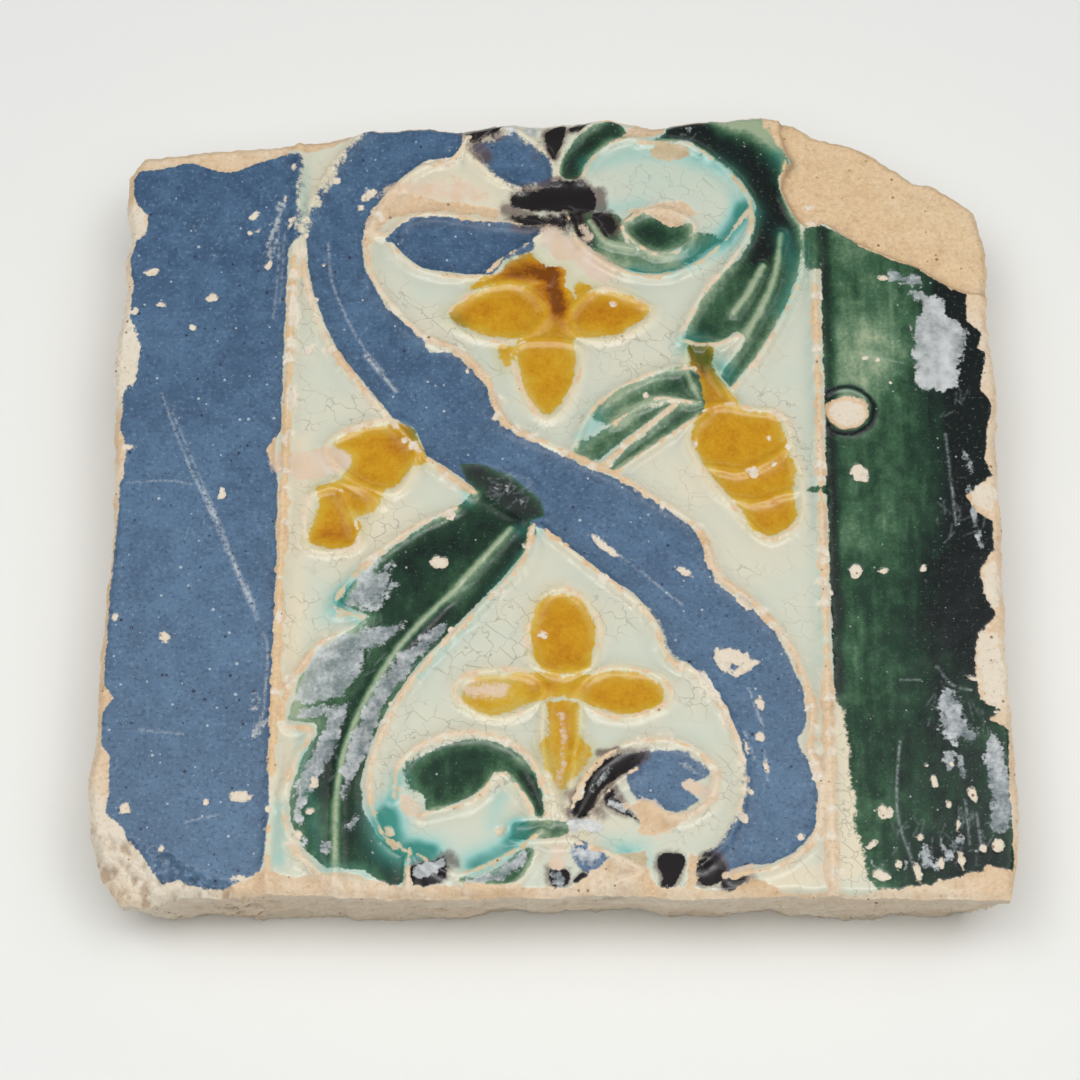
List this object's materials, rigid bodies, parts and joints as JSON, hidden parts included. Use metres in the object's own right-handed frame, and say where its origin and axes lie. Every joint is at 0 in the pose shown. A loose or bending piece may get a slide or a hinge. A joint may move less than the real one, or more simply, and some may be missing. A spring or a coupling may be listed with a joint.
{
  "type": "glazed ceramic tile",
  "caption": "Square clay wall tile with raised lines that part coloured glazes into two crossed scrolls with flowers, between a blue and a green band.",
  "frame": {"origin": "middle of the tile's box, on the plane of its underside", "axes": "+Z out of the glazed face, +X to the right of the pattern, +Y to its top"},
  "size_m": [0.1376, 0.1368, 0.0187],
  "materials": {
    "glazed_clay": "tin-white, blue, green, amber and black glazes on bare buff clay, worn and chipped"
  },
  "bodies": {
    "root": {"glazed_tile": "glazed_clay"}
  },
  "joints": []
}
